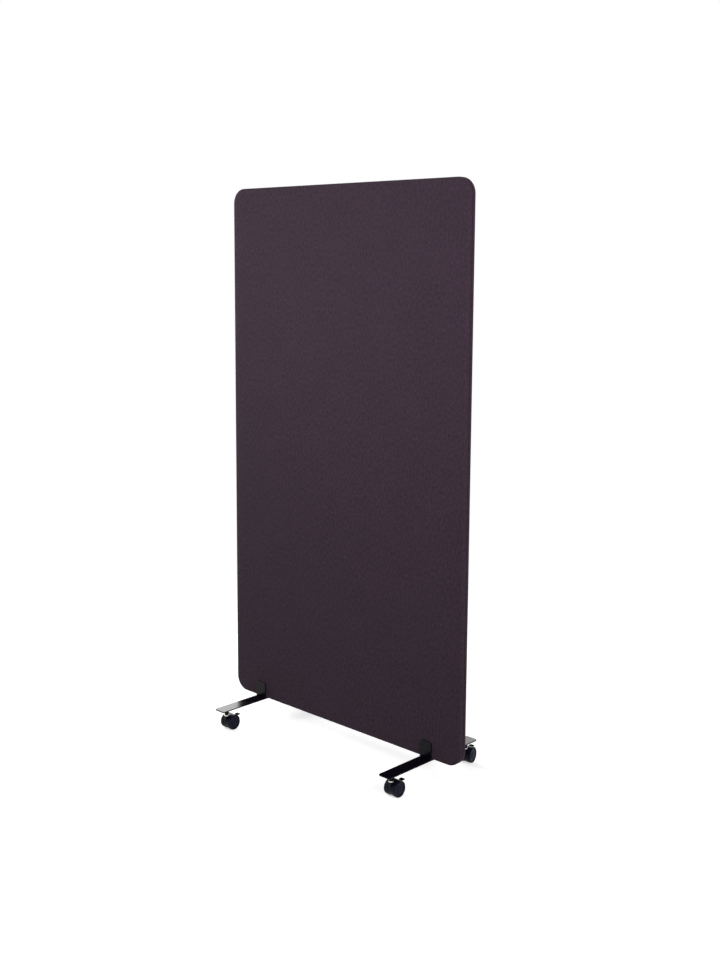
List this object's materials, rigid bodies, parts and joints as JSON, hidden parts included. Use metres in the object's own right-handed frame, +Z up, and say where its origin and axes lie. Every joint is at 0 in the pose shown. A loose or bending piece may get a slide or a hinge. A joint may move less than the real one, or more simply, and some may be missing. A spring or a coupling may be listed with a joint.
{
  "type": "rolling partition",
  "caption": "Tall upholstered screen panel with rounded corners on flat steel feet, rolling on braked twin-wheel swivel casters.",
  "frame": {"origin": "on the floor under the middle of the panel", "axes": "+X to the right seen from the front, along the panel's width; +Y to the back, across its thickness; +Z up"},
  "size_m": [1.05, 0.4513, 1.877],
  "materials": {
    "cover_fabric": "dark aubergine upholstery weave",
    "beading": "woven edge beading in the seam",
    "wadding": "thin foam wadding",
    "timber": "planed softwood",
    "hardboard": "hardboard sheet",
    "core_board": "light core board",
    "black_steel": "satin black powder coat",
    "zinc": "bright zinc plate",
    "nylon": "black moulded nylon",
    "wheel_nylon": "dark grey-black moulded nylon",
    "insert_brass": "turned brass"
  },
  "bodies": {
    "base": {"left_stile": "timber", "right_stile": "timber", "top_rail": "timber", "bottom_rail": "timber", "frame_dowels": "timber", "infill_core": "core_board", "front_board": "hardboard", "back_board": "hardboard", "front_wadding": "wadding", "back_wadding": "wadding", "front_cover": "cover_fabric", "back_cover": "cover_fabric", "edge_beading": "beading", "left_foot_bar": "black_steel", "right_foot_bar": "black_steel", "left_front_upright": "black_steel", "left_back_upright": "black_steel", "right_front_upright": "black_steel", "right_back_upright": "black_steel", "left_stem_bosses": "black_steel", "right_stem_bosses": "black_steel", "left_bracket_screws": "zinc", "right_bracket_screws": "zinc", "rail_inserts": "insert_brass", "stem_grip_rings": "zinc", "front_left_stem": "zinc", "front_right_stem": "zinc", "back_left_stem": "zinc", "back_right_stem": "zinc"},
    "front_left_swivel": {"front_left_hood": "nylon", "front_left_axle": "zinc", "front_left_brake_pin": "zinc"},
    "front_left_inner_wheel": {"front_left_inner_wheel": "wheel_nylon"},
    "front_left_outer_wheel": {"front_left_outer_wheel": "wheel_nylon"},
    "front_left_brake_lever": {"front_left_brake_lever": "nylon"},
    "front_right_swivel": {"front_right_hood": "nylon", "front_right_axle": "zinc", "front_right_brake_pin": "zinc"},
    "front_right_inner_wheel": {"front_right_inner_wheel": "wheel_nylon"},
    "front_right_outer_wheel": {"front_right_outer_wheel": "wheel_nylon"},
    "front_right_brake_lever": {"front_right_brake_lever": "nylon"},
    "back_left_swivel": {"back_left_hood": "nylon", "back_left_axle": "zinc", "back_left_brake_pin": "zinc"},
    "back_left_inner_wheel": {"back_left_inner_wheel": "wheel_nylon"},
    "back_left_outer_wheel": {"back_left_outer_wheel": "wheel_nylon"},
    "back_left_brake_lever": {"back_left_brake_lever": "nylon"},
    "back_right_swivel": {"back_right_hood": "nylon", "back_right_axle": "zinc", "back_right_brake_pin": "zinc"},
    "back_right_inner_wheel": {"back_right_inner_wheel": "wheel_nylon"},
    "back_right_outer_wheel": {"back_right_outer_wheel": "wheel_nylon"},
    "back_right_brake_lever": {"back_right_brake_lever": "nylon"}
  },
  "joints": [
    {"name": "front_left_swivel_turn", "type": "hinge", "parent": "base", "child": "front_left_swivel", "pos_m": [-0.39, -0.18, 0.05], "axis": [0, 0, 1], "continuous": true},
    {"name": "front_left_inner_wheel_spin", "type": "hinge", "parent": "front_left_swivel", "child": "front_left_inner_wheel", "pos_m": [-0.39028, -0.164, 0.025], "axis": [0.9998, 0.0175, 0], "continuous": true},
    {"name": "front_left_outer_wheel_spin", "type": "hinge", "parent": "front_left_swivel", "child": "front_left_outer_wheel", "pos_m": [-0.39028, -0.164, 0.025], "axis": [0.9998, 0.0175, 0], "continuous": true},
    {"name": "front_left_brake_tip", "type": "hinge", "parent": "front_left_swivel", "child": "front_left_brake_lever", "pos_m": [-0.3905, -0.15128, 0.03773], "axis": [-0.9998, -0.0175, 0], "range_deg": [0, 9]},
    {"name": "front_right_swivel_turn", "type": "hinge", "parent": "base", "child": "front_right_swivel", "pos_m": [0.39, -0.18, 0.05], "axis": [0, 0, 1], "continuous": true},
    {"name": "front_right_inner_wheel_spin", "type": "hinge", "parent": "front_right_swivel", "child": "front_right_inner_wheel", "pos_m": [0.39, -0.164, 0.025], "axis": [1, 0, 0], "continuous": true},
    {"name": "front_right_outer_wheel_spin", "type": "hinge", "parent": "front_right_swivel", "child": "front_right_outer_wheel", "pos_m": [0.39, -0.164, 0.025], "axis": [1, 0, 0], "continuous": true},
    {"name": "front_right_brake_tip", "type": "hinge", "parent": "front_right_swivel", "child": "front_right_brake_lever", "pos_m": [0.39, -0.15127, 0.03773], "axis": [-1, 0, 0], "range_deg": [0, 9]},
    {"name": "back_left_swivel_turn", "type": "hinge", "parent": "base", "child": "back_left_swivel", "pos_m": [-0.39, 0.18, 0.05], "axis": [0, 0, 1], "continuous": true},
    {"name": "back_left_inner_wheel_spin", "type": "hinge", "parent": "back_left_swivel", "child": "back_left_inner_wheel", "pos_m": [-0.39167, 0.19591, 0.025], "axis": [0.9945, 0.1045, 0], "continuous": true},
    {"name": "back_left_outer_wheel_spin", "type": "hinge", "parent": "back_left_swivel", "child": "back_left_outer_wheel", "pos_m": [-0.39167, 0.19591, 0.025], "axis": [0.9945, 0.1045, 0], "continuous": true},
    {"name": "back_left_brake_tip", "type": "hinge", "parent": "back_left_swivel", "child": "back_left_brake_lever", "pos_m": [-0.393, 0.20857, 0.03773], "axis": [-0.9945, -0.1045, 0], "range_deg": [0, 9]},
    {"name": "back_right_swivel_turn", "type": "hinge", "parent": "base", "child": "back_right_swivel", "pos_m": [0.39, 0.18, 0.05], "axis": [0, 0, 1], "continuous": true},
    {"name": "back_right_inner_wheel_spin", "type": "hinge", "parent": "back_right_swivel", "child": "back_right_inner_wheel", "pos_m": [0.3864, 0.19559, 0.025], "axis": [0.9744, 0.225, 0], "continuous": true},
    {"name": "back_right_outer_wheel_spin", "type": "hinge", "parent": "back_right_swivel", "child": "back_right_outer_wheel", "pos_m": [0.3864, 0.19559, 0.025], "axis": [0.9744, 0.225, 0], "continuous": true},
    {"name": "back_right_brake_tip", "type": "hinge", "parent": "back_right_swivel", "child": "back_right_brake_lever", "pos_m": [0.38354, 0.20799, 0.03773], "axis": [-0.9744, -0.225, 0], "range_deg": [0, 9]}
  ]
}
